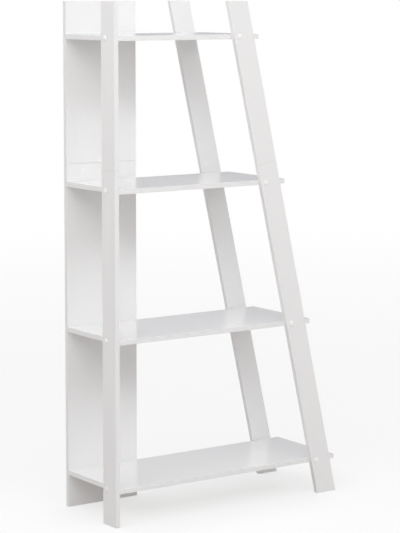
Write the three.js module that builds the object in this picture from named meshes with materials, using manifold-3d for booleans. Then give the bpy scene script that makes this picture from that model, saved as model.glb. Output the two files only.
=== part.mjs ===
// Ladder shelf: four boards of falling length, screwed between a wide panel and a narrow post on the
// left and two slanted legs on the right. Millimetres, +Z up, +X to the right, front towards -Y.
//
// It is drawn from its front left floor corner: X = 0 at the shelves' left ends, Y = 0 at their front
// edges, Z = 0 on the floor. All four uprights stand outside the shelves' footprint, against their
// edges. The last lines move the whole to its reference point, the middle of its footprint.

import * as THREE from "three";
import { mergeVertices } from "three/addons/utils/BufferGeometryUtils.js";
import Module from "manifold-3d";

// ---------------------------------------------------------------- driving dimensions

const board = 15; // thickness of every board
const shelfCount = 4;
const pitch = 456; // from one shelf top to the next
const firstTop = 118; // top of the lowest shelf above the floor
const shelfDepth = 300;
const longestShelf = 827;
const shelfStep = 103.5; // each shelf is this much shorter than the one below
const height = 1588;
const panelWidth = 257;
const stripWidth = 72.5; // the post and both legs, across their length
const shelfOverhang = 29; // a shelf's right end beyond the leg's right edge, at the shelf's middle
const buttHeight = 1085; // where the lower and upper boards of an upright meet
const buttGap = 0.3; // seam between two boards that meet end to end
const edgeGap = 0.15; // seam between a shelf's edge and an upright

const fixingInset = 19.5; // screws and dowels of a strip, from its long edges
const panelScrews = [61, 196]; // across the panel, from its left edge
const panelDowels = [29, 228];

const screw = { length: 50, headRadius: 5, coneDepth: 4, shankRadius: 3.5, rootRadius: 2.7, point: 3 };
const socket = { radius: 2.3, depth: 4.5 }; // six-sided recess in the screw's head
const cap = { radius: 8.6, rise: 2.6, rim: 0.7, stemRadius: 1.7, stemLength: 3.6 };
const dowel = { radius: 4, reach: 9, hole: 11 }; // reach and hole are from the seam
const cam = { radius: 6.5, depth: 11.5, fromButt: 22, slotWidth: 2, slotDepth: 1.2 };
const camBolt = { radius: 3, headRadius: 3.9, headLength: 2.6, neckRadius: 2, neckLength: 4, thread: 11 };
const clearance = 0.3; // round every pin and screw in its hole
const past = 1; // how far a cutting shape reaches past the surface it starts from

const roundSides = 16;
const smallRoundSides = 12;
const domeSteps = 3;
const mergeTolerance = 1e-4;

// ---------------------------------------------------------------- worked-out places

const slant = shelfStep / pitch; // how far a leg leans left for each millimetre up
const lean = Math.atan(slant);
const legSpan = stripWidth / Math.cos(lean); // a leg's width measured level
const shelfTop = (index) => firstTop + index * pitch;
const shelfMiddle = (index) => shelfTop(index) - board / 2;
const shelfLength = (index) => longestShelf - index * shelfStep;
const legRight = (z) => longestShelf - shelfOverhang - (z - shelfMiddle(0)) * slant;
const legLeft = (z) => legRight(z) - legSpan;
const shelfNumbers = [...Array(shelfCount).keys()];

const right = new THREE.Vector3(1, 0, 0);
const back = new THREE.Vector3(0, 1, 0);
const up = new THREE.Vector3(0, 0, 1);
const front = back.clone().negate();
const upTheLeg = new THREE.Vector3(-Math.sin(lean), 0, Math.cos(lean));

// ---------------------------------------------------------------- materials

const material = (color, roughness, metalness = 0) =>
  new THREE.MeshStandardMaterial({ color, roughness, metalness });
const whiteLaminate = material(0xf1f1ef, 0.35);
const whitePlastic = material(0xf4f4f2, 0.3);
const camWhite = material(0xecebe8, 0.45);
const zincSteel = material(0xb9bcc0, 0.35, 1);

// ---------------------------------------------------------------- joining and cutting

const wasm = await Module();
wasm.setup();

// A closed three.js geometry as a solid that can be joined and cut.
function solidOf(geometry) {
  const bare = geometry.clone();
  bare.deleteAttribute("normal");
  bare.deleteAttribute("uv");
  const merged = mergeVertices(bare, mergeTolerance);
  return new wasm.Manifold(
    new wasm.Mesh({
      numProp: 3,
      vertProperties: merged.attributes.position.array,
      triVerts: new Uint32Array(merged.index.array),
    }),
  );
}

// A solid back as a three.js geometry.
function geometryOf(solid) {
  const made = solid.getMesh();
  const geometry = new THREE.BufferGeometry();
  geometry.setAttribute("position", new THREE.BufferAttribute(made.vertProperties, 3));
  geometry.setIndex(new THREE.BufferAttribute(made.triVerts, 1));
  geometry.computeVertexNormals();
  return geometry;
}

const cutAll = (solid, tools) => tools.reduce((rest, tool) => rest.subtract(tool), solid);
const joinAll = (solid, extras) => extras.reduce((whole, extra) => whole.add(extra), solid);

// ---------------------------------------------------------------- basic shapes

// Turns a shape drawn along +Z so that it starts at `start` and runs along `direction`.
function aim(object, start, direction) {
  object.quaternion.setFromUnitVectors(up, direction);
  object.position.copy(start);
  object.updateMatrix();
  return object;
}

// The solid of a turned outline. The outline's points are (radius, distance along the axis), from one
// point on the axis to another, going up.
function turned(outline, start, direction, sides = smallRoundSides) {
  const geometry = turnedGeometry(outline, sides);
  return solidOf(geometry.applyMatrix4(aim(new THREE.Object3D(), start, direction).matrix));
}

function turnedGeometry(outline, sides = smallRoundSides) {
  const points = outline.map(([radius, along]) => new THREE.Vector2(radius, along));
  return new THREE.LatheGeometry(points, sides).rotateX(Math.PI / 2);
}

// A plain round peg or hole between two distances along a direction.
function peg(radius, from, to, start, direction, sides = smallRoundSides) {
  const outline = [[0, from], [radius, from], [radius, to], [0, to]];
  return turned(outline, start, direction, sides);
}

// A board standing upright across the depth: a level outline of (x, z) corners, between two depths.
function standingBoard(corners, frontFace) {
  const outline = new THREE.Shape(corners.map(([x, z]) => new THREE.Vector2(x, z)));
  const plate = new THREE.ExtrudeGeometry(outline, { depth: board, bevelEnabled: false });
  plate.rotateX(Math.PI / 2); // the outline's second axis now points up and the plate runs to the front
  return solidOf(plate.translate(0, frontFace + board, 0));
}

function block(x0, x1, y0, y1, z0, z1) {
  const box = new THREE.BoxGeometry(x1 - x0, y1 - y0, z1 - z0);
  return solidOf(box.translate((x0 + x1) / 2, (y0 + y1) / 2, (z0 + z1) / 2));
}

// ---------------------------------------------------------------- where things are fixed

// Each upright touches the shelves at a seat plane and is fixed along `inward`, into the shelf. The
// places of its screws and dowels are given for a height, because those of the legs slide along as
// they lean.
const uprights = [
  {
    name: "panel",
    inward: front,
    screws: () => panelScrews.map((x) => [x, shelfDepth]),
    dowels: () => panelDowels.map((x) => [x, shelfDepth]),
  },
  {
    name: "post",
    inward: right,
    screws: () => [[0, stripWidth - fixingInset]],
    dowels: () => [[0, fixingInset]],
  },
  ...[["front_leg", back, 0], ["rear_leg", front, shelfDepth]].map(([name, inward, y]) => ({
    name,
    inward,
    screws: (z) => [[legLeft(z) + fixingInset / Math.cos(lean), y]],
    dowels: (z) => [[legRight(z) - fixingInset / Math.cos(lean), y]],
  })),
];

const seats = (places, index) =>
  places(shelfMiddle(index)).map(([x, y]) => new THREE.Vector3(x, y, shelfMiddle(index)));

// The outer face of an upright, straight behind a point on its seat plane.
const outerPoint = (upright, seat) => seat.clone().addScaledVector(upright.inward, -board);

// ---------------------------------------------------------------- screws, caps and their holes

// A screw's outline from its point, which is furthest in, to the top of its countersunk head.
const screwOutline = [
  [0, screw.length],
  [screw.rootRadius, screw.length - screw.point],
  [screw.rootRadius, board + screw.point],
  [screw.shankRadius, board],
  [screw.shankRadius, screw.coneDepth],
  [screw.headRadius, clearance],
  [0, clearance],
].reverse();

function screwGeometry() {
  const body = solidOf(turnedGeometry(screwOutline));
  const hexagon = new THREE.CylinderGeometry(socket.radius, socket.radius, socket.depth, 6);
  hexagon.rotateX(Math.PI / 2).translate(0, 0, socket.depth / 2 + clearance / 2);
  return geometryOf(body.subtract(solidOf(hexagon)));
}

// A low dome that covers the head, on a stem that is pressed into the socket. The dome's outline is
// followed from its crown out to the rim.
function capGeometry() {
  const domeAngles = [...Array(domeSteps).keys()].map((step) => (step / domeSteps) * (Math.PI / 2));
  const outline = [
    [0, -cap.rise],
    ...domeAngles.reverse().map((angle) => [
      cap.radius * Math.cos(angle),
      -cap.rim - (cap.rise - cap.rim) * Math.sin(angle),
    ]),
    [cap.radius, -edgeGap],
    [cap.stemRadius, -edgeGap],
    [cap.stemRadius, cap.stemLength],
    [0, cap.stemLength],
  ];
  return turnedGeometry(outline, roundSides);
}

// The stepped hole for a screw: a countersink on the outer face, then a clear hole to the seat plane.
function screwHole(upright, seat) {
  const outline = [
    [0, -past],
    [screw.headRadius + clearance, -past],
    [screw.headRadius + clearance, clearance],
    [screw.shankRadius + clearance, screw.coneDepth],
    [screw.shankRadius + clearance, board + past],
    [0, board + past],
  ];
  return turned(outline, outerPoint(upright, seat), upright.inward);
}

const pilotHole = (upright, seat) =>
  peg(screw.shankRadius + clearance, -past, screw.length - board + clearance, seat, upright.inward);

// ---------------------------------------------------------------- shelves

function shelfSolid(index) {
  const top = shelfTop(index);
  const plain = block(edgeGap, shelfLength(index), edgeGap, shelfDepth - edgeGap, top - board, top);
  const pilots = uprights.flatMap((upright) =>
    seats(upright.screws, index).map((seat) => pilotHole(upright, seat)),
  );
  const pegs = uprights.flatMap((upright) =>
    seats(upright.dowels, index).map((seat) =>
      peg(dowel.radius, -dowel.reach, board, seat, upright.inward),
    ),
  );
  return joinAll(cutAll(plain, pilots), pegs);
}

// ---------------------------------------------------------------- uprights

// The panel and the post are plain boards cut square. A leg's ends are cut level, for the floor and
// for the top, and its butt joint is cut square across the leg.
function panelBoards() {
  const plain = (z0, z1) => block(0, panelWidth, shelfDepth, shelfDepth + board, z0, z1);
  return [plain(0, buttHeight - buttGap / 2), plain(buttHeight + buttGap / 2, height)];
}

function postBoards() {
  const plain = (z0, z1) => block(-board, 0, 0, stripWidth, z0, z1);
  return [plain(0, buttHeight - buttGap / 2), plain(buttHeight + buttGap / 2, height)];
}

// The middle of a leg's butt joint, at the leg's centre line.
const legMiddle = (z) => (legLeft(z) + legRight(z)) / 2;

function legBoards(frontFace) {
  const middle = new THREE.Vector2(legMiddle(buttHeight), buttHeight);
  const half = stripWidth / 2;
  // One end of the joint: `side` is -1 for the left edge, 1 for the right, `shift` is along the leg.
  const jointCorner = (side, shift) => [
    middle.x + side * half * Math.cos(lean) - shift * Math.sin(lean),
    middle.y + side * half * Math.sin(lean) + shift * Math.cos(lean),
  ];
  const lower = [
    [legLeft(0), 0],
    [legRight(0), 0],
    jointCorner(1, -buttGap / 2),
    jointCorner(-1, -buttGap / 2),
  ];
  const upper = [
    jointCorner(-1, buttGap / 2),
    jointCorner(1, buttGap / 2),
    [legRight(height), height],
    [legLeft(height), height],
  ];
  return [standingBoard(lower, frontFace), standingBoard(upper, frontFace)];
}

const boardsOf = {
  panel: panelBoards,
  post: postBoards,
  front_leg: () => legBoards(-board),
  rear_leg: () => legBoards(shelfDepth),
};

// ---------------------------------------------------------------- butt joints of the uprights

// Each joint has a cam in the lower board and a bolt from the upper one, and a glued dowel beside
// them. `along` runs up the boards and `toInside` points to the inner face, where the cam goes in.
const legAcross = (offset) =>
  new THREE.Vector3(
    legMiddle(buttHeight) + offset * Math.cos(lean),
    0,
    buttHeight + offset * Math.sin(lean),
  );
const stripOffset = stripWidth / 2 - fixingInset;

const butts = [
  {
    name: "panel",
    along: up,
    toInside: front,
    camSeam: new THREE.Vector3(panelScrews[0], shelfDepth + board / 2, buttHeight),
    dowelSeam: new THREE.Vector3(panelScrews[1], shelfDepth + board / 2, buttHeight),
  },
  {
    name: "post",
    along: up,
    toInside: right,
    camSeam: new THREE.Vector3(-board / 2, stripWidth - fixingInset, buttHeight),
    dowelSeam: new THREE.Vector3(-board / 2, fixingInset, buttHeight),
  },
  ...[["front_leg", back, -board / 2], ["rear_leg", front, shelfDepth + board / 2]].map(
    ([name, toInside, y]) => ({
      name,
      along: upTheLeg,
      toInside,
      camSeam: legAcross(-stripOffset).setY(y),
      dowelSeam: legAcross(stripOffset).setY(y),
    }),
  ),
];

const camCentre = (butt) => butt.camSeam.clone().addScaledVector(butt.along, -cam.fromButt);
const camFace = (butt) => camCentre(butt).addScaledVector(butt.toInside, board / 2);

// The bolt's far end stops short of the cam, whose hook would reach round its neck.
const boltTip = cam.fromButt - cam.radius - clearance * 2;

function camHole(butt) {
  const intoBoard = butt.toInside.clone().negate();
  const holeRadius = cam.radius + clearance;
  return peg(holeRadius, -past, cam.depth + clearance, camFace(butt), intoBoard, roundSides);
}

const boltHole = (butt) =>
  peg(camBolt.headRadius + clearance, -cam.fromButt, past, butt.camSeam, butt.along);
const boltThreadHole = (butt) =>
  peg(camBolt.radius + clearance, -past, camBolt.thread + clearance, butt.camSeam, butt.along);
const dowelHole = (butt) =>
  peg(dowel.radius + clearance, -dowel.hole, past, butt.dowelSeam, butt.along);
const buttDowel = (butt) =>
  peg(dowel.radius, -dowel.reach, dowel.hole, butt.dowelSeam, butt.along);

// A round cam with a cross slot in its face for the screwdriver.
function camSolid(butt) {
  const intoBoard = butt.toInside.clone().negate();
  const disc = peg(cam.radius, 0, cam.depth, camFace(butt), intoBoard, roundSides);
  const slots = [0, Math.PI / 2].map((turn) => {
    const bar = new THREE.BoxGeometry(cam.radius, cam.slotWidth, cam.slotDepth * 2);
    bar.rotateZ(turn);
    return solidOf(bar.applyMatrix4(aim(new THREE.Object3D(), camFace(butt), intoBoard).matrix));
  });
  return cutAll(disc, slots);
}

// A bolt with a thread in the upper board, a neck, and a round head that the cam pulls on.
function camBoltSolid(butt) {
  const outline = [
    [0, -boltTip],
    [camBolt.headRadius, -boltTip],
    [camBolt.headRadius, -boltTip + camBolt.headLength],
    [camBolt.neckRadius, -boltTip + camBolt.headLength],
    [camBolt.neckRadius, -boltTip + camBolt.headLength + camBolt.neckLength],
    [camBolt.radius, -boltTip + camBolt.headLength + camBolt.neckLength],
    [camBolt.radius, camBolt.thread],
    [0, camBolt.thread],
  ];
  return turned(outline, butt.camSeam, butt.along);
}

// ---------------------------------------------------------------- assembly

const shelfUnit = new THREE.Group();

function addMesh(name, geometry, finish) {
  const mesh = new THREE.Mesh(geometry, finish);
  mesh.name = name;
  shelfUnit.add(mesh);
  return mesh;
}

for (const index of shelfNumbers) {
  addMesh(`shelf_${index + 1}`, geometryOf(shelfSolid(index)), whiteLaminate);
}

const screwShape = screwGeometry();
const capShape = capGeometry();
const isUpper = (index) => shelfTop(index) > buttHeight;

for (const upright of uprights) {
  const butt = butts.find((found) => found.name === upright.name);
  const [lowerBlank, upperBlank] = boardsOf[upright.name]();
  const holesFor = (upperBoard) =>
    shelfNumbers
      .filter((index) => isUpper(index) === upperBoard)
      .flatMap((index) => [
        ...seats(upright.screws, index).map((seat) => screwHole(upright, seat)),
        ...seats(upright.dowels, index).map((seat) =>
          peg(dowel.radius + clearance, -dowel.hole, past, seat, upright.inward),
        ),
      ]);
  const lower = cutAll(lowerBlank, [...holesFor(false), camHole(butt), boltHole(butt), dowelHole(butt)]);
  const upper = cutAll(upperBlank, [...holesFor(true), boltThreadHole(butt)]);
  addMesh(`${upright.name}_lower`, geometryOf(lower), whiteLaminate);
  addMesh(`${upright.name}_upper`, geometryOf(upper.add(buttDowel(butt))), whiteLaminate);
  addMesh(`${upright.name}_cam`, geometryOf(camSolid(butt)), camWhite);
  addMesh(`${upright.name}_cam_bolt`, geometryOf(camBoltSolid(butt)), zincSteel);

  for (const index of shelfNumbers) {
    const places = seats(upright.screws, index);
    places.forEach((seat, turn) => {
      const letter = places.length > 1 ? "ab"[turn] : "";
      const start = outerPoint(upright, seat);
      const place = `${upright.name}_shelf_${index + 1}${letter}`;
      aim(addMesh(`screw_${place}`, screwShape, zincSteel), start, upright.inward);
      aim(addMesh(`cap_${place}`, capShape, whitePlastic), start, upright.inward);
    });
  }
}

// The reference point is the middle of the footprint, on the floor. Caps stand proud of the post on the
// left and of the uprights in front and behind; nothing reaches past the lowest shelf on the right.
const farLeft = -board - cap.rise;
const farRight = longestShelf;
shelfUnit.position.set(-(farLeft + farRight) / 2, -shelfDepth / 2, 0);

const ladderShelf = new THREE.Group();
ladderShelf.add(shelfUnit);

export default ladderShelf;
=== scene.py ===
# %% [markdown]
# # A white ladder shelf, finished in Blender
#
# The object is a free-standing ladder shelf: four boards that get shorter upwards, held between a
# wide panel and a narrow post at the left end and two slanted legs at the right end. It comes flat
# in a carton as sawn particle board with a white melamine skin and plastic edge bands, and is put
# together with countersunk screws under white plastic caps.
#
# The sizes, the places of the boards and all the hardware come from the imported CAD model, which is
# loaded here and never moved. This file adds what CAD leaves out: softly rounded edge bands, the
# joint between band and face, the skin of the laminate, moulded caps, and light.

import math

import bpy
import numpy as np
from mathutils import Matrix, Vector


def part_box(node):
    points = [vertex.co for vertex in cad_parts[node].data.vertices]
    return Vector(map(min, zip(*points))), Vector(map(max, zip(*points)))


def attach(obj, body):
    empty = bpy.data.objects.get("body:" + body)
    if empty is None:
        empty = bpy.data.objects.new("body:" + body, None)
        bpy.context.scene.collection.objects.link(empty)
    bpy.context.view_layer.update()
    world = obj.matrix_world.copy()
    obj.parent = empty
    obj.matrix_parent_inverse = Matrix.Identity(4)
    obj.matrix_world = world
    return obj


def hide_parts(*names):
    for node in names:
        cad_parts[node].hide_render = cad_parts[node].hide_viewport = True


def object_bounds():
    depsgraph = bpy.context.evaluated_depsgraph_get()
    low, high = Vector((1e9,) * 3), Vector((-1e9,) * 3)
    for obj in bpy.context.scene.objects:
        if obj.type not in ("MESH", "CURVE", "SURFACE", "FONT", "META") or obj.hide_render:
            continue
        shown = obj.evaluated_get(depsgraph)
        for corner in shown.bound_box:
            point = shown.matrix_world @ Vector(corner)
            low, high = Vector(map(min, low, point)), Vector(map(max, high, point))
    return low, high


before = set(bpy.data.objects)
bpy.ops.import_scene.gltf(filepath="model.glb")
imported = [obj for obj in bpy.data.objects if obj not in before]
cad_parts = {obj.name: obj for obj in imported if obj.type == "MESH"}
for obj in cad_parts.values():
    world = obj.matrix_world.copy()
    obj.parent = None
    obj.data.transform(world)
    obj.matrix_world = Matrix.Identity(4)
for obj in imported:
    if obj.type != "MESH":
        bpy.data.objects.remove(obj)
cad_low, cad_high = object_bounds()
MM = 0.001
print("CAD nodes:", len(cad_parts))
print("CAD box:", [round(v, 4) for v in (*cad_low, *cad_high)])

# %% [markdown]
# ## Camera
#
# The shelf is looked at from its front left corner by somebody standing a good six metres away, with
# a long lens. Upright boards should stay upright in such a view, and tilting the camera makes them
# lean together. A level camera with a strong vertical shift of the lens would keep them exactly
# parallel, but the same shift would push the object out of the frame from other sides. So a small
# part of the downward look is lens shift and the rest is tilt.

# %% The camera
EYE = Vector((-3.584, -5.102, 1.618))
YAW = math.radians(35.05)
TILT = math.radians(6.08)
LENS_MM = 134.1
SENSOR_MM = 36.0
LENS_SHIFT = -0.12
FARTHEST_SEEN = 2000.0

camera_data = bpy.data.cameras.new("studio_camera")
camera_data.lens = LENS_MM
camera_data.sensor_width = SENSOR_MM
camera_data.shift_y = LENS_SHIFT
camera_data.clip_end = FARTHEST_SEEN
camera = bpy.data.objects.new("studio_camera", camera_data)
camera.location = EYE
camera.rotation_euler = (math.pi / 2 - TILT, 0.0, -YAW)
bpy.context.scene.collection.objects.link(camera)
bpy.context.scene.camera = camera
print("camera to object:", round((EYE - (cad_low + cad_high) / 2).length, 2), "m")

# %% [markdown]
# ## Making a mesh from arrays
#
# Every new piece below is a grid of points worked out by numpy. Blender could be handed such points
# one by one, but copying whole arrays into the mesh is much quicker. One helper turns the points and
# the four-cornered faces into a mesh, with smooth shading, a UV map and named values on the points,
# and fastens the piece to the CAD body.


# %% A mesh from arrays of points and faces
def link_surface(name, points, faces, materials, body="root", uv=None, values=None, slots=None):
    """A mesh piece from points (n, 3) and quads (m, 4). uv is (m, 4, 2), values is a dictionary
    of numbers on the points, slots gives each face the number of its material."""
    mesh = bpy.data.meshes.new(name)
    mesh.vertices.add(len(points))
    mesh.vertices.foreach_set("co", np.asarray(points, np.float32).ravel())
    mesh.loops.add(faces.size)
    mesh.loops.foreach_set("vertex_index", faces.astype(np.int32).ravel())
    mesh.polygons.add(len(faces))
    corners = faces.shape[1]
    mesh.polygons.foreach_set("loop_start", np.arange(len(faces), dtype=np.int32) * corners)
    mesh.polygons.foreach_set("use_smooth", np.ones(len(faces), bool))
    for material in materials:
        mesh.materials.append(material)
    if slots is not None:
        mesh.polygons.foreach_set("material_index", slots.astype(np.int32))
    if uv is not None:
        layer = mesh.uv_layers.new(name="metres")
        layer.data.foreach_set("uv", uv.astype(np.float32).ravel())
    for key, numbers in (values or {}).items():
        attribute = mesh.attributes.new(key, "FLOAT", "POINT")
        attribute.data.foreach_set("value", numbers.astype(np.float32))
    mesh.update(calc_edges=True)
    mesh.validate()
    piece = bpy.data.objects.new(name, mesh)
    bpy.context.scene.collection.objects.link(piece)
    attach(piece, body)
    return piece


# %% [markdown]
# ## Finishes
#
# White melamine is not a flat white. It is a paper soaked in resin and pressed onto chips: it has a
# very fine pebble from the press plate, a slow waviness where the chips swell, a satin gloss that
# changes where hands have wiped it, and it greys a little along its edges. Each of these could be
# wired anew in every material. Here each is a small node group with named inputs, so that faces and
# edge bands share them at their own strength. The groups put out only values, colours and normals;
# the shader stays in the material.


# %% Helpers for nodes and groups
def new_group(name, inputs, outputs):
    """An empty shader node group. inputs are (name, kind, default), outputs are (name, kind)."""
    group = bpy.data.node_groups.new(name, "ShaderNodeTree")
    for label, kind, default in inputs:
        socket = group.interface.new_socket(label, in_out="INPUT", socket_type=kind)
        socket.default_value = default
    for label, kind in outputs:
        group.interface.new_socket(label, in_out="OUTPUT", socket_type=kind)
    return group, group.nodes.new("NodeGroupInput"), group.nodes.new("NodeGroupOutput")


def add_node(tree, kind, settings=None, **inputs):
    """A node with its settings and input values set. An input that is a socket is linked instead.
    Inputs go by name, or by number after an underscore where several share a name."""
    node = tree.nodes.new(kind)
    for key, value in (settings or {}).items():
        setattr(node, key, value)
    for key, value in inputs.items():
        socket = node.inputs[int(key[1:])] if key[0] == "_" else node.inputs[key.replace("_", " ")]
        if isinstance(value, bpy.types.NodeSocket):
            tree.links.new(value, socket)
        else:
            socket.default_value = value
    return node


def math_node(tree, operation, first, second):
    """The result of one arithmetic step between two values or sockets."""
    return add_node(tree, "ShaderNodeMath", {"operation": operation}, _0=first, _1=second).outputs[0]


# %% [markdown]
# ### Pebble and waviness
#
# The relief of the skin is far too shallow to model with points, so it is a bump. There are two
# heights on top of each other: the slow waviness of the board, and the press plate's fine grain.


# %% The skin group
def make_skin_group():
    group, given, result = new_group(
        "laminate_skin",
        [
            ("Grain Size", "NodeSocketFloat", 0.0012),
            ("Grain Depth", "NodeSocketFloat", 0.02),
            ("Wave Size", "NodeSocketFloat", 0.09),
            ("Wave Depth", "NodeSocketFloat", 0.5),
        ],
        [("Normal", "NodeSocketVector")],
    )
    place = add_node(group, "ShaderNodeTexCoord").outputs["Object"]
    grain_scale = math_node(group, "DIVIDE", 1.0, given.outputs["Grain Size"])
    wave_scale = math_node(group, "DIVIDE", 1.0, given.outputs["Wave Size"])
    grain = add_node(
        group, "ShaderNodeTexNoise", Vector=place, Scale=grain_scale, Detail=1.0, Roughness=0.5
    )
    wave = add_node(
        group, "ShaderNodeTexNoise", Vector=place, Scale=wave_scale, Detail=2.0, Roughness=0.4
    )
    slow = add_node(
        group,
        "ShaderNodeBump",
        Strength=1.0,
        Distance=math_node(group, "MULTIPLY", given.outputs["Wave Depth"], MM),
        Height=wave.outputs["Fac"],
    )
    fine = add_node(
        group,
        "ShaderNodeBump",
        Strength=1.0,
        Distance=math_node(group, "MULTIPLY", given.outputs["Grain Depth"], MM),
        Height=grain.outputs["Fac"],
        Normal=slow.outputs["Normal"],
    )
    group.links.new(fine.outputs["Normal"], result.inputs["Normal"])
    return group


skin_group = make_skin_group()
print("group:", skin_group.name)

# %% [markdown]
# ### Handling
#
# Cloths and hands change the gloss of a white board long before they change its colour. A cloth
# leaves wide soft swipes, drawn out along the board, and hands leave small smudges. Both only move
# the roughness up or down a little. The swipes follow the board's own UV map, so that they turn with
# the board; the smudges may lie anywhere.


# %% The handling group
SWIPE_STRETCH = (14.0, 3.5, 1.0)
SWIPE_TURN = (0.0, 0.0, 0.35)
SMUDGE_FROM = 0.5
SMUDGE_FULL = 0.8


def make_handling_group():
    group, given, result = new_group(
        "handling",
        [
            ("Base Roughness", "NodeSocketFloat", 0.3),
            ("Swipe Amount", "NodeSocketFloat", 0.08),
            ("Smudge Amount", "NodeSocketFloat", 0.06),
        ],
        [("Roughness", "NodeSocketFloat")],
    )
    uv = add_node(group, "ShaderNodeUVMap", {"uv_map": "metres"}).outputs["UV"]
    stretched = add_node(
        group, "ShaderNodeMapping", Vector=uv, Scale=SWIPE_STRETCH, Rotation=SWIPE_TURN
    )
    swipe = add_node(
        group, "ShaderNodeTexNoise", Vector=stretched.outputs[0], Scale=1.0, Detail=4.0, Distortion=0.6
    )
    place = add_node(group, "ShaderNodeTexCoord").outputs["Object"]
    smudge = add_node(
        group, "ShaderNodeTexNoise", Vector=place, Scale=7.0, Detail=3.0, Roughness=0.5
    )
    mask = add_node(
        group,
        "ShaderNodeMapRange",
        Value=smudge.outputs["Fac"],
        _1=SMUDGE_FROM,
        _2=SMUDGE_FULL,
        _3=0.0,
        _4=1.0,
    )
    centred = math_node(group, "SUBTRACT", swipe.outputs["Fac"], 0.5)
    swiped = math_node(group, "MULTIPLY", centred, given.outputs["Swipe Amount"])
    smudged = math_node(group, "MULTIPLY", mask.outputs[0], given.outputs["Smudge Amount"])
    base = math_node(group, "ADD", given.outputs["Base Roughness"], swiped)
    group.links.new(math_node(group, "ADD", base, smudged), result.inputs["Roughness"])
    return group


handling_group = make_handling_group()
print("group:", handling_group.name)

# %% [markdown]
# ### Whites
#
# The colour of the skin changes slowly over the board, by a hair, and edges that are knocked and
# rubbed turn a little grey. A curvature node could find the edges, but it needs a fine mesh. Each
# board carries its points' distance to the nearest edge instead, and the rubbing is a noise that is
# only let through where that distance is small.


# %% The white group
RUB_FROM = 0.5
RUB_FULL = 0.72


def make_white_group():
    group, given, result = new_group(
        "worn_white",
        [
            ("Clean", "NodeSocketColor", (0.8, 0.8, 0.8, 1.0)),
            ("Toned", "NodeSocketColor", (0.78, 0.78, 0.77, 1.0)),
            ("Worn", "NodeSocketColor", (0.6, 0.6, 0.58, 1.0)),
            ("Wear Reach", "NodeSocketFloat", 0.0016),
            ("Wear Amount", "NodeSocketFloat", 0.5),
        ],
        [("Color", "NodeSocketColor")],
    )
    place = add_node(group, "ShaderNodeTexCoord").outputs["Object"]
    clouds = add_node(
        group, "ShaderNodeTexNoise", Vector=place, Scale=5.0, Detail=3.0, Roughness=0.55
    )
    toned = add_node(
        group,
        "ShaderNodeMix",
        {"data_type": "RGBA"},
        _0=clouds.outputs["Fac"],
        _6=given.outputs["Clean"],
        _7=given.outputs["Toned"],
    )
    distance = add_node(group, "ShaderNodeAttribute", {"attribute_name": "edge_distance"})
    near = add_node(
        group,
        "ShaderNodeMapRange",
        Value=distance.outputs["Fac"],
        _1=given.outputs["Wear Reach"],
        _2=0.0,
        _3=0.0,
        _4=1.0,
    )
    rubs = add_node(
        group, "ShaderNodeTexNoise", Vector=place, Scale=60.0, Detail=6.0, Roughness=0.7
    )
    rubbed = add_node(
        group,
        "ShaderNodeMapRange",
        Value=rubs.outputs["Fac"],
        _1=RUB_FROM,
        _2=RUB_FULL,
        _3=0.0,
        _4=1.0,
    )
    touched = math_node(group, "MULTIPLY", near.outputs[0], rubbed.outputs[0])
    wear = math_node(group, "MULTIPLY", touched, given.outputs["Wear Amount"])
    worn = add_node(
        group,
        "ShaderNodeMix",
        {"data_type": "RGBA"},
        _0=wear,
        _6=toned.outputs[2],
        _7=given.outputs["Worn"],
    )
    group.links.new(worn.outputs[2], result.inputs["Color"])
    return group


white_group = make_white_group()
print("group:", white_group.name)

# %% [markdown]
# ### The finishes of a board
#
# A board has two finishes. Its wide faces are the pressed melamine skin, satin and a touch wavy.
# Its edges are extruded plastic band: a slightly different white, duller, without the waviness.
# They could be one material with a mask, but two materials keep each one simple, and the faces of
# the mesh say which is which.


# %% Melamine and edge band
def place_group(tree, group, **inputs):
    """A node group in a material, with its input values set."""
    node = tree.nodes.new("ShaderNodeGroup")
    node.node_tree = group
    for key, value in inputs.items():
        node.inputs[key.replace("_", " ")].default_value = value
    return node


def new_material(name):
    """An empty material: its node tree and its Principled shader."""
    material = bpy.data.materials.new(name)
    material.use_nodes = True
    tree = material.node_tree
    tree.nodes.clear()
    shader = tree.nodes.new("ShaderNodeBsdfPrincipled")
    output = tree.nodes.new("ShaderNodeOutputMaterial")
    tree.links.new(shader.outputs["BSDF"], output.inputs["Surface"])
    return material, tree, shader


def white_finish(name, clean, toned, worn, roughness, swipe, smudge, wave, grain, wear):
    """A white board finish made of the three groups, at the given strengths. wave and grain are
    depths in millimetres."""
    material, tree, shader = new_material(name)
    white = place_group(tree, white_group, Clean=clean, Toned=toned, Worn=worn, Wear_Amount=wear)
    gloss = place_group(
        tree, handling_group, Base_Roughness=roughness, Swipe_Amount=swipe, Smudge_Amount=smudge
    )
    skin = place_group(tree, skin_group, Wave_Depth=wave, Grain_Depth=grain)
    tree.links.new(white.outputs["Color"], shader.inputs["Base Color"])
    tree.links.new(gloss.outputs["Roughness"], shader.inputs["Roughness"])
    tree.links.new(skin.outputs["Normal"], shader.inputs["Normal"])
    shader.inputs["IOR"].default_value = 1.5
    return material


melamine = white_finish(
    "white_melamine",
    clean=(0.88, 0.88, 0.88, 1.0),
    toned=(0.86, 0.86, 0.86, 1.0),
    worn=(0.62, 0.61, 0.59, 1.0),
    roughness=0.13,
    swipe=0.05,
    smudge=0.02,
    wave=0.25,
    grain=0.012,
    wear=0.1,
)
edge_band = white_finish(
    "white_edge_band",
    clean=(0.865, 0.865, 0.865, 1.0),
    toned=(0.845, 0.845, 0.842, 1.0),
    worn=(0.58, 0.57, 0.55, 1.0),
    roughness=0.4,
    swipe=0.04,
    smudge=0.02,
    wave=0.0,
    grain=0.012,
    wear=0.1,
)
print("board finishes:", melamine.name, edge_band.name)

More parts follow.
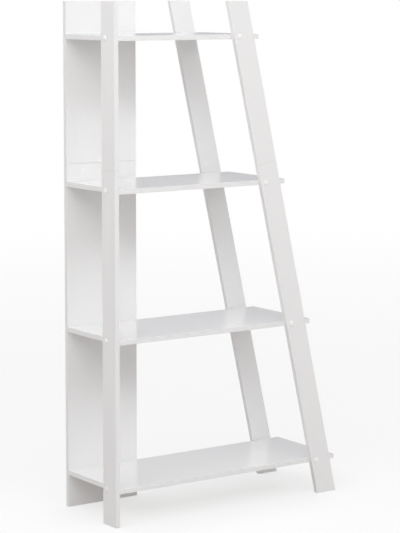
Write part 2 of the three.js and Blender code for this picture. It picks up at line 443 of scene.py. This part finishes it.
# %% [markdown]
# ### The finishes of the hardware
#
# Caps are moulded plastic, cams are die-cast metal with a painted face, and the screws are bright
# zinc. They are all small and smooth. One speckle noise drives their colour, their gloss and a very
# shallow relief together, which is how a moulded or plated surface behaves: where it is rougher it
# is also a little duller and darker.


# %% Plastic, paint and zinc
SPECKLE_SCALE = 400.0
SPECKLE_DEPTH = 0.02 * MM
GLOSS_SPREAD = 0.15


def plain_finish(name, colour, tone, roughness, metallic=0.0):
    """A moulded or plated finish: two close colours in a fine speckle, and a faint skin."""
    material, tree, shader = new_material(name)
    place = add_node(tree, "ShaderNodeTexCoord").outputs["Object"]
    speckle = add_node(
        tree, "ShaderNodeTexNoise", Vector=place, Scale=SPECKLE_SCALE, Detail=4.0, Roughness=0.6
    )
    mix = add_node(
        tree, "ShaderNodeMix", {"data_type": "RGBA"}, _0=speckle.outputs["Fac"], _6=colour, _7=tone
    )
    gloss = add_node(
        tree,
        "ShaderNodeMapRange",
        Value=speckle.outputs["Fac"],
        _1=0.3,
        _2=0.7,
        _3=roughness * (1 - GLOSS_SPREAD),
        _4=roughness * (1 + GLOSS_SPREAD),
    )
    skin = add_node(
        tree, "ShaderNodeBump", Strength=1.0, Distance=SPECKLE_DEPTH, Height=speckle.outputs["Fac"]
    )
    tree.links.new(mix.outputs[2], shader.inputs["Base Color"])
    tree.links.new(gloss.outputs[0], shader.inputs["Roughness"])
    tree.links.new(skin.outputs["Normal"], shader.inputs["Normal"])
    shader.inputs["Metallic"].default_value = metallic
    return material


cap_plastic = plain_finish("white_cap_plastic", (0.95, 0.95, 0.945, 1), (0.93, 0.93, 0.925, 1), 0.14)
cam_paint = plain_finish("white_cam_paint", (0.89, 0.89, 0.885, 1), (0.86, 0.86, 0.855, 1), 0.3)
zinc = plain_finish("bright_zinc", (0.72, 0.73, 0.75, 1), (0.6, 0.61, 0.64, 1), 0.32, metallic=1.0)
print("hardware finishes:", cap_plastic.name, cam_paint.name, zinc.name)

# %% [markdown]
# ## Boards
#
# A board is a flat box whose edges are not knife sharp: the band is trimmed to a radius of a
# fraction of a millimetre, and that small round is what catches the light. A cube with a Bevel
# modifier would give the round, but not the points near the edge that carry the wear. So one
# function lays a lattice over a box, keeps only the points on its skin, and rounds it: each point is
# pulled back to the nearest point of a slightly smaller box and pushed out again by the radius. The
# lattice lines crowd towards the edges, where the round and the wear are.
#
# The rounded box is then laid onto the four corners of the real board, which may be slanted, by
# mixing the corners with the point's share of the width and of the length. These boards show the
# outside only: they are solid, without the holes and dowels of the CAD boards.

# %% A box with rounded edges
EDGE_RADIUS = 0.35 * MM
BAND_THICKNESS = 1.0 * MM
ROUND_ANGLES = np.radians([45.0, 30.0, 15.0, 0.0])
NEAR_EDGE = np.array([2.0, 5.0, 12.0, 25.0]) * MM
SPARE_MIDDLE = 2 * MM
LATTICE_STEP = 60 * MM


def lattice_lines(length):
    """Places of the lattice lines along one side of a box: at even angles round the edge's radius,
    then ever wider apart, then evenly over the middle, and the same again mirrored."""
    arc = EDGE_RADIUS * (1 - np.tan(ROUND_ANGLES))
    inner = np.concatenate([[BAND_THICKNESS], NEAR_EDGE])
    start = np.concatenate([arc, inner[inner < length / 2 - SPARE_MIDDLE]])
    middle = np.linspace(start[-1], length - start[-1], 2 + int(length / LATTICE_STEP))[1:-1]
    return np.concatenate([start, middle, (length - start)[::-1]])


def rounded_box(size):
    """Points, lattice places, quads and sides of a box with rounded edges. A lattice point on the
    skin is clamped to a box smaller by the radius, then moved out along the leftover by the radius."""
    lines = [lattice_lines(s) for s in size]
    counts = [len(line) for line in lines]
    index = np.arange(np.prod(counts)).reshape(counts)
    raw = np.stack(np.meshgrid(*lines, indexing="ij"), axis=-1).reshape(-1, 3)
    quads, sides = [], []
    for axis in range(3):
        for end in (0, -1):
            sheet = np.take(index, end, axis=axis)
            quad = np.stack([sheet[:-1, :-1], sheet[1:, :-1], sheet[1:, 1:], sheet[:-1, 1:]], axis=-1)
            quad = quad.reshape(-1, 4)
            outward = (end == -1) != (axis == 1)
            quads.append(quad if outward else quad[:, ::-1])
            sides.append(np.full(len(quad), axis))
    quads, sides = np.concatenate(quads), np.concatenate(sides)
    used, faces = np.unique(quads, return_inverse=True)
    raw, faces = raw[used], faces.reshape(-1, 4)
    size = np.asarray(size)
    core = np.clip(raw, EDGE_RADIUS, size - EDGE_RADIUS)
    outward = raw - core
    outward /= np.linalg.norm(outward, axis=1, keepdims=True)
    return core + outward * EDGE_RADIUS, raw, faces, sides


print("lattice lines along one metre:", len(lattice_lines(1.0)))


# %% What a board's points and faces know about themselves
def edge_distance(raw, size):
    """How far each point is from the board's nearest edge. Of its distances to the six sides of
    the box the smallest is zero, and the next is the distance to the edge."""
    to_sides = np.concatenate([raw, np.asarray(size) - raw], axis=1)
    return np.sort(to_sides, axis=1)[:, 1]


def board_uv(raw, faces, sides):
    """The UV of each face corner, in metres: along and across the board on its wide faces, along
    and through it on its edges."""
    corners = raw[faces]
    picks = {0: (1, 2), 1: (0, 2), 2: (1, 0)}
    uv = np.empty((*faces.shape, 2))
    for axis, (first, second) in picks.items():
        chosen = sides == axis
        uv[chosen] = corners[chosen][:, :, [first, second]]
    return uv


def band_mask(raw, faces, sides, size):
    """1 for faces of the edge band: all of the narrow sides, and the rim of the wide faces that is
    the band's own thickness."""
    centre = raw[faces].mean(axis=1)[:, :2]
    rim = np.minimum(centre, np.asarray(size)[:2] - centre).min(axis=1) < BAND_THICKNESS
    return ((sides != 2) | rim).astype(int)


# %% A board between four corners
def make_board(name, corners, thickness, shift):
    """A board between four corners of one wide face, bottom left, bottom right, top right and top
    left, going back by the vector thickness. A point blends the corners by its shares of the width
    and length, plus its share of the thickness. shift moves the swipes, so that no boards match."""
    low_left, low_right, high_right, high_left = (np.array(c, float) for c in corners)
    depth = np.array(thickness, float)
    size = (
        np.linalg.norm(low_right - low_left),
        np.linalg.norm(high_left - low_left),
        np.linalg.norm(depth),
    )
    points, raw, faces, sides = rounded_box(size)
    across, along, through = (points / np.array(size)).T[:, :, None]
    bottom = low_left + across * (low_right - low_left)
    top = high_left + across * (high_right - high_left)
    placed = bottom + along * (top - bottom) + through * depth
    if np.dot(np.cross(low_right - low_left, high_left - low_left), depth) < 0:
        faces = faces[:, ::-1]
    return link_surface(
        name,
        placed,
        faces,
        [melamine, edge_band],
        uv=board_uv(raw, faces, sides) + np.array(shift),
        values={"edge_distance": edge_distance(raw, size)},
        slots=band_mask(raw, faces, sides, size),
    )


# %% [markdown]
# ### Where the boards are
#
# The CAD boards carry their glued dowels, which reach into their neighbours, so a node's box is
# not always the board's own. The seats of the shelves are taken from the uprights instead: the
# front leg's back, the rear leg's front and the post's right face are where the shelves' edges are.
# Where two boards meet end to end their sawn ends are pulled together by the cam. The narrow boards
# close to a hairline. The wide panel has one cam near its edge and stays open a little more.

# %% Measure the frame
SEAM = 0.15 * MM
panel_low, panel_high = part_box("panel_lower")
post_low, post_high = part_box("post_lower")
front_low, front_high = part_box("front_leg_lower")
rear_low, rear_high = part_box("rear_leg_lower")
SHELF_FRONT = front_high.y + SEAM
SHELF_BACK = rear_low.y - SEAM
SHELF_LEFT = post_high.x + SEAM
BOARD = panel_high.y - panel_low.y
BUTT_MIDDLE = panel_high.z + SEAM
TIGHT_GAP = 0.3 * MM
PANEL_GAP = 0.5 * MM
TOP = cad_high.z
shelf_boxes = [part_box(f"shelf_{number}") for number in (1, 2, 3, 4)]
print("shelf depth", round(SHELF_BACK - SHELF_FRONT, 4), "board", round(BOARD, 4))

# %% [markdown]
# ### Shelves
#
# A shelf is a plain rectangle. It lies with its wide face up, so its first wide face is the top
# and it goes down by its thickness.

# %% The four shelves
for number, (low, high) in enumerate(shelf_boxes, start=1):
    top_corners = [
        (SHELF_LEFT, SHELF_FRONT, high.z),
        (high.x, SHELF_FRONT, high.z),
        (high.x, SHELF_BACK, high.z),
        (SHELF_LEFT, SHELF_BACK, high.z),
    ]
    shelf = make_board(f"shelf_board_{number}", top_corners, (0, 0, -BOARD), (number * 1.7, 0.3))
    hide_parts(f"shelf_{number}")
    print(shelf.name, "length", round(high.x - SHELF_LEFT, 4), "points", len(shelf.data.vertices))

# %% [markdown]
# ### Panel and post
#
# Both are upright rectangles in two lengths, butted above the third shelf. The panel's wide face
# looks forward and the post's looks left.


# %% The panel and the post, lower and upper
def board_ends(part, gap):
    """Heights of the bottom and top of a lower or an upper board, with a gap between the two."""
    return (0.0, BUTT_MIDDLE - gap / 2) if part == "lower" else (BUTT_MIDDLE + gap / 2, TOP)


for turn, part in enumerate(("lower", "upper")):
    bottom, top = board_ends(part, PANEL_GAP)
    panel_corners = [
        (panel_low.x, panel_low.y, bottom),
        (panel_high.x, panel_low.y, bottom),
        (panel_high.x, panel_low.y, top),
        (panel_low.x, panel_low.y, top),
    ]
    panel = make_board(f"panel_board_{part}", panel_corners, (0, BOARD, 0), (turn * 2.3, 4.0))
    bottom, top = board_ends(part, TIGHT_GAP)
    post_corners = [
        (post_low.x, post_high.y, bottom),
        (post_low.x, post_low.y, bottom),
        (post_low.x, post_low.y, top),
        (post_low.x, post_high.y, top),
    ]
    post = make_board(f"post_board_{part}", post_corners, (BOARD, 0, 0), (turn * 3.1, 7.0))
    for piece, node in ((panel, f"panel_{part}"), (post, f"post_{part}")):
        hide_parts(node)
        print(piece.name, "points", len(piece.data.vertices))

# %% [markdown]
# ### Slanted legs
#
# A leg is a straight board that leans to the left as it rises. Its foot and its top are cut level,
# and the joint between its two lengths is cut square across it. Its foot and top corners are read
# off the CAD mesh; the joint's corners lie on the same two long edges.


# %% Measure the legs
SAME_HEIGHT = 0.01 * MM


def level_ends(node, z):
    """The leftmost and rightmost x of a CAD node's points at a height."""
    places = np.array([v.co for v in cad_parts[node].data.vertices])
    at_height = places[np.abs(places[:, 2] - z) < SAME_HEIGHT]
    return at_height[:, 0].min(), at_height[:, 0].max()


foot_left, foot_right = level_ends("front_leg_lower", 0.0)
head_left, head_right = level_ends("front_leg_upper", TOP)
SLANT = (foot_left - head_left) / TOP
LEAN = math.atan(SLANT)
LEG_WIDTH = (foot_right - foot_left) * math.cos(LEAN)
print("lean", round(math.degrees(LEAN), 2), "degrees, leg width", round(LEG_WIDTH, 4))


# %% The four boards of the legs
def joint_corners(shift):
    """Left and right corner of the square cut across a leg, moved along the leg by shift."""
    middle_x = (foot_left + foot_right) / 2 - SLANT * BUTT_MIDDLE
    half = LEG_WIDTH / 2
    return [
        (
            middle_x + side * half * math.cos(LEAN) - shift * math.sin(LEAN),
            BUTT_MIDDLE + side * half * math.sin(LEAN) + shift * math.cos(LEAN),
        )
        for side in (-1, 1)
    ]


leg_outlines = {
    "lower": [(foot_left, 0.0), (foot_right, 0.0), *joint_corners(-TIGHT_GAP / 2)[::-1]],
    "upper": [*joint_corners(TIGHT_GAP / 2), (head_right, TOP), (head_left, TOP)],
}
for turn, (part, outline) in enumerate(leg_outlines.items()):
    for side, y in (("front", front_low.y), ("rear", rear_low.y)):
        corners = [(x, y, z) for x, z in outline]
        leg = make_board(f"{side}_leg_board_{part}", corners, (0, BOARD, 0), (turn * 1.3, 9.0 + y))
        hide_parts(f"{side}_leg_{part}")
        print(leg.name, "points", len(leg.data.vertices))

# %% [markdown]
# ## Screw caps
#
# Each screw's head is hidden by a white plastic cap: a shallow dome with a short straight rim,
# pressed flat against the board. A sphere squashed flat would be a cap too, but it thins out
# towards the rim, and a moulded cap has full shoulders. It is a turned shape, so one profile is
# carried round an axis: a full dome above a tiny straight rim, closed underneath. The stem that
# holds a real cap in the screw is hidden and left out.

# %% A turned surface
TURNED_SIDES = 48


def turned_surface(profile, centre, outward):
    """Points and quads of a profile carried round a level axis. The profile is rows of radius and
    distance along the axis. Its first and last ring are small circles that close_ends fills."""
    turn = np.linspace(0, 2 * math.pi, TURNED_SIDES, endpoint=False)
    axis = np.array(outward, float)
    side = np.cross((0.0, 0.0, 1.0), axis)
    other = np.cross(axis, side)
    round_it = np.cos(turn)[:, None] * side + np.sin(turn)[:, None] * other
    radius, along = profile[:, 0], profile[:, 1]
    rings = np.array(centre) + along[:, None, None] * axis + radius[:, None, None] * round_it
    index = np.arange(len(profile) * TURNED_SIDES).reshape(len(profile), TURNED_SIDES)
    following = np.roll(index, -1, axis=1)
    walls = np.stack([index[:-1], following[:-1], following[1:], index[1:]], axis=-1)
    return rings.reshape(-1, 3), walls.reshape(-1, 4), index


def close_ends(points, walls, index):
    """Closes the first and last ring of a turned surface with a fan of quads to a centre point."""
    first, last = len(points), len(points) + 1
    points = np.vstack([points, points[index[0]].mean(axis=0), points[index[-1]].mean(axis=0)])
    pairs = np.arange(0, TURNED_SIDES, 2)

    def ring(row, step):
        return index[row][(pairs + step) % TURNED_SIDES]

    start = np.stack([np.full(len(pairs), first), ring(0, 2), ring(0, 1), ring(0, 0)], axis=-1)
    end = np.stack([np.full(len(pairs), last), ring(-1, 0), ring(-1, 1), ring(-1, 2)], axis=-1)
    return points, np.concatenate([walls, start, end])


# %% The cap's profile
DOME_POWER = 2.6
DOME_STEPS = 15
RIM_SHARE = 0.2
UNDERSIDE_SHARES = np.array([[0.1, 0.0], [0.9, 0.0], [0.985, 0.02]])
CROWN_SHARES = np.array([[0.04, 1.0]])


def cap_profile(radius, rise):
    """From the middle of the underside, out to the rim, up it, and over the dome. The dome is a
    quarter of a superellipse, |r/R|^p + |h/H|^2 = 1. For a power p above 2 its sides are steeper
    than an ellipse's. The underside and the crown are rings in shares of the radius and the rise."""
    rim = RIM_SHARE * rise
    sweep = np.radians(np.linspace(0, 90, DOME_STEPS))[:-1]
    out = radius * np.cos(sweep) ** (2 / DOME_POWER)
    dome = np.stack([out, rim + (rise - rim) * np.sin(sweep)], axis=1)
    under = UNDERSIDE_SHARES * (radius, rise)
    crown = CROWN_SHARES * (radius, rise)
    return np.vstack([under, dome, crown])


print("rings in a cap:", len(cap_profile(1.0, 1.0)))

# %% One cap on every screw, placed by its CAD node
HEAD_SUNK = 0.3 * MM
cap_nodes = sorted(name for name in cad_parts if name.startswith("cap_"))
for node in cap_nodes:
    low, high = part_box(node)
    middle = (low + high) / 2
    span = high - low
    axis = min(range(3), key=lambda i: span[i])
    faces_low = axis == 0 or "front_leg" in node
    outward = [0.0, 0.0, 0.0]
    outward[axis] = -1.0 if faces_low else 1.0
    tip = low[axis] if faces_low else high[axis]
    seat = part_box(node.replace("cap_", "screw_"))
    rise = min(abs(tip - seat[0][axis]), abs(tip - seat[1][axis])) - HEAD_SUNK
    centre = list(middle)
    centre[axis] = tip - outward[axis] * rise
    radius = max(span) / 2
    points, walls, index = turned_surface(cap_profile(radius, rise), centre, outward)
    points, quads = close_ends(points, walls, index)
    piece = link_surface(node.replace("cap_", "screw_cap_"), points, quads, [cap_plastic])
    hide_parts(node)
print(len(cap_nodes), "caps, rise", round(rise / MM, 2), "mm, radius", round(radius / MM, 2), "mm")

# %% [markdown]
# ## Cam faces
#
# Just below each butt joint the inner face of the lower board shows the end of a cam: a round
# white disc with a cross for the screwdriver, sitting a hair proud of the laminate. A Boolean could
# cut the cross, but it leaves long thin faces that shade badly. The disc is a turned shape with
# close rings instead, and its face is pressed in along two bars by a soft-edged mask. Only the face
# is made: the rest of a cam is inside the board.

# %% The cam's profile and its cross
RIM_STEPS = 5
FACE_RINGS = 22
FACE_OUTER = 0.96
FACE_INNER = 0.04
BASE_INNER = 0.1


def cam_profile(radius, rise, sunk):
    """From the middle of a base sunk in the board, out to the side, over a small round at the rim,
    and back to the middle in even rings that are close enough to carry the cross."""
    bend = np.radians(np.linspace(0, 90, RIM_STEPS))
    round_rim = np.stack([radius - rise + rise * np.cos(bend), rise * np.sin(bend)], axis=1)
    base = np.array([[BASE_INNER * radius, -sunk], [radius, -sunk]])
    inner = np.linspace(FACE_OUTER, FACE_INNER, FACE_RINGS) * (radius - rise)
    face = np.stack([inner, np.full(FACE_RINGS, rise)], axis=1)
    return np.vstack([base, round_rim, face])


def cross_depth(u, v, width, reach, softness):
    """How much of the cross's depth a point gets, 0 to 1: the larger of two crossed bars, each a
    product of straight ramps across its width and along its length."""

    def ramp(distance, edge):
        return np.clip((edge - np.abs(distance)) / softness + 0.5, 0.0, 1.0)

    return np.maximum(ramp(u, width / 2) * ramp(v, reach), ramp(v, width / 2) * ramp(u, reach))


print("rings in a cam:", len(cam_profile(1.0, 0.1, 0.1)))

# %% The four cams, each on the inner face of its board
CAM_RISE = 0.4 * MM
CAM_SUNK = 0.5 * MM
CROSS_DEPTH = 0.2 * MM
CROSS = {"width": 1.5 * MM, "reach": 4.4 * MM, "softness": 0.5 * MM}
cam_sides = {
    "panel": (1, -1.0),
    "post": (0, 1.0),
    "front_leg": (1, 1.0),
    "rear_leg": (1, -1.0),
}
for upright, (axis, sign) in cam_sides.items():
    low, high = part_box(f"{upright}_cam")
    centre = np.array((low + high) / 2)
    centre[axis] = high[axis] if sign > 0 else low[axis]
    outward = np.zeros(3)
    outward[axis] = sign
    radius = (high.z - low.z) / 2
    points, walls, index = turned_surface(cam_profile(radius, CAM_RISE, CAM_SUNK), centre, outward)
    across = points - centre
    sideways = across[:, 1 - axis]
    pressed = cross_depth(sideways, across[:, 2], **CROSS)
    on_face = np.isclose(across @ outward, CAM_RISE)
    points -= (on_face * pressed * CROSS_DEPTH)[:, None] * outward
    points, quads = close_ends(points, walls, index)
    piece = link_surface(f"cam_face_{upright}", points, quads, [cam_paint])
    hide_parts(f"{upright}_cam")
print(len(cam_sides), "cam faces, radius", round(radius / MM, 2), "mm")

# %% [markdown]
# ## Hidden hardware
#
# The screws and the cam bolts are inside the boards. Their shape is right in the CAD model, so
# these nodes stay and only get their finish.

# %% Zinc for the CAD nodes that stay
kept = [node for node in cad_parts.values() if not node.hide_render]
for node in kept:
    node.data.materials.clear()
    node.data.materials.append(zinc)
print(len(kept), "CAD nodes keep their shape")

# %% [markdown]
# ## Floor
#
# A white studio sweep is a sheet that runs from the floor up the wall without an edge. A curved
# backdrop would do for one camera but shows its ends to others. This floor is one very large flat
# sheet that, to the camera, fades into the room's white a few metres out. More than half of it is
# its own glow from the start, which softens the shadow under the object.
#
# What matters more for a white object is what the floor throws back onto the boards, which is only
# about half of the light, and slightly warm. A real sheet has one tone. This one cheats: it is pale
# to the camera and darker as a source of light.

# %% The floor, a very large sheet
ROOM_WHITE = (1.0, 1.0, 1.0, 1.0)
FLOOR_REACH = 800.0
FADE_START = 1.0
FADE_END = 8.0
FADE_LEAST = 0.6
FLOOR_SEEN = (0.95, 0.95, 0.95, 1.0)
FLOOR_BOUNCE = (0.54, 0.5, 0.47, 1.0)
FLOOR_GLOW = (0.54, 0.52, 0.5, 1.0)

floor_material, floor_tree, floor_shader = new_material("pale_floor")
floor_shader.inputs["Roughness"].default_value = 0.9
floor_shader.inputs["Specular IOR Level"].default_value = 0.1
seen_floor = add_node(floor_tree, "ShaderNodeLightPath").outputs["Is Camera Ray"]
tone = add_node(
    floor_tree, "ShaderNodeMix", {"data_type": "RGBA"}, _0=seen_floor, _6=FLOOR_BOUNCE, _7=FLOOR_SEEN
)
floor_tree.links.new(tone.outputs[2], floor_shader.inputs["Base Color"])
floor_place = add_node(floor_tree, "ShaderNodeTexCoord").outputs["Object"]
reach = add_node(floor_tree, "ShaderNodeVectorMath", {"operation": "LENGTH"}, _0=floor_place)
fade = add_node(
    floor_tree,
    "ShaderNodeMapRange",
    {"interpolation_type": "SMOOTHSTEP"},
    Value=reach.outputs["Value"],
    _1=FADE_START,
    _2=FADE_END,
    _3=FADE_LEAST,
    _4=1.0,
)
wall_tone = add_node(
    floor_tree, "ShaderNodeMix", {"data_type": "RGBA"}, _0=seen_floor, _6=FLOOR_GLOW, _7=ROOM_WHITE
)
wall = add_node(floor_tree, "ShaderNodeEmission", Color=wall_tone.outputs[2], Strength=1.0)
sweep = add_node(
    floor_tree,
    "ShaderNodeMixShader",
    _0=fade.outputs[0],
    _1=floor_shader.outputs[0],
    _2=wall.outputs[0],
)
floor_output = next(node for node in floor_tree.nodes if node.type == "OUTPUT_MATERIAL")
floor_tree.links.new(sweep.outputs[0], floor_output.inputs["Surface"])

floor_mesh = bpy.data.meshes.new("studio_floor")
floor_signs = ((-1, -1), (1, -1), (1, 1), (-1, 1))
floor_corners = [(x * FLOOR_REACH, y * FLOOR_REACH, 0.0) for x, y in floor_signs]
floor_mesh.from_pydata(floor_corners, [], [(0, 1, 2, 3)])
floor_mesh.materials.append(floor_material)
floor = bpy.data.objects.new("studio_floor", floor_mesh)
bpy.context.scene.collection.objects.link(floor)
print("floor half side:", FLOOR_REACH, "m, fades out from", FADE_START, "to", FADE_END, "m")

# %% [markdown]
# ## Room
#
# A white object shows the room more than itself. A white room all round would wash out every edge,
# so this one is dim and a little blue at eye level, has a bright band all round above it, and a dim
# ceiling. The band stands for a row of soft boxes. Area lights could make it, but a ring painted on
# the world is even and has no corners to be mirrored in the boards. The camera sees plain white.
#
# Each step gives the elevation in degrees, the glow and the tint.

# %% The room, painted on the world
BAND_LIGHT = 2.62
BLUISH = (0.94, 0.945, 1.0)
PLAIN = (0.99, 0.99, 1.0)
ROOM_STEPS = [
    (0.0, 0.19, BLUISH),
    (10.0, 0.18, BLUISH),
    (16.0, 0.14, BLUISH),
    (26.0, 0.12, PLAIN),
    (31.0, 1.0, PLAIN),
    (39.0, 1.0, PLAIN),
    (42.0, 0.19, PLAIN),
    (90.0, 0.13, PLAIN),
]

world = bpy.data.worlds.new("studio_room")
world.use_nodes = True
room = world.node_tree
room.nodes.clear()
direction = add_node(room, "ShaderNodeTexCoord").outputs["Generated"]
height_of = add_node(room, "ShaderNodeSeparateXYZ", Vector=direction).outputs["Z"]
glow = add_node(room, "ShaderNodeValToRGB", Fac=height_of)
ramp = glow.color_ramp.elements
while len(ramp) < len(ROOM_STEPS):
    ramp.new(0.5)
for stop, (elevation, share, tint) in zip(ramp, ROOM_STEPS):
    stop.position = math.sin(math.radians(elevation))
    stop.color = (*(share * part for part in tint), 1.0)
seen = add_node(room, "ShaderNodeLightPath").outputs["Is Camera Ray"]
shade = add_node(
    room, "ShaderNodeMix", {"data_type": "RGBA"}, _0=seen, _6=glow.outputs["Color"], _7=ROOM_WHITE
)
strength = add_node(room, "ShaderNodeMix", {"data_type": "FLOAT"}, _0=seen, _2=BAND_LIGHT, _3=1.0)
background = add_node(
    room, "ShaderNodeBackground", Color=shade.outputs[2], Strength=strength.outputs[0]
)
add_node(room, "ShaderNodeOutputWorld", Surface=background.outputs[0])
bpy.context.scene.world = world
print("room steps:", len(ROOM_STEPS), "band light:", BAND_LIGHT)

# %% [markdown]
# ## Soft boxes
#
# The room alone lights all sides alike. Three large square lights on the left and in front set the
# faces apart: one overhead to the left, one high in front, and a low one that opens up the shade
# under the shelves. Smaller lights would do that too, but with hard shadows on the white boards.

# %% Three soft boxes
BOX_SIZE = 2.0
BOX_TARGET = Vector((0.0, 0.0, 0.9))


def add_soft_box(name, watts, place):
    """A square light of a fixed size, aimed at the middle of the object and not seen itself."""
    data = bpy.data.lights.new(name, "AREA")
    data.shape = "SQUARE"
    data.size = BOX_SIZE
    data.energy = watts
    light = bpy.data.objects.new(name, data)
    light.location = place
    light.rotation_euler = (Vector(place) - BOX_TARGET).to_track_quat("Z", "Y").to_euler()
    light.visible_camera = False
    bpy.context.scene.collection.objects.link(light)


add_soft_box("overhead_left_light", 19.0, (-1.8, -1.0, 2.8))
add_soft_box("high_front_light", 13.5, (0.0, -2.8, 2.6))
add_soft_box("low_front_light", 9.0, (-1.0, -3.2, 1.05))
bpy.context.scene.view_settings.view_transform = "Standard"
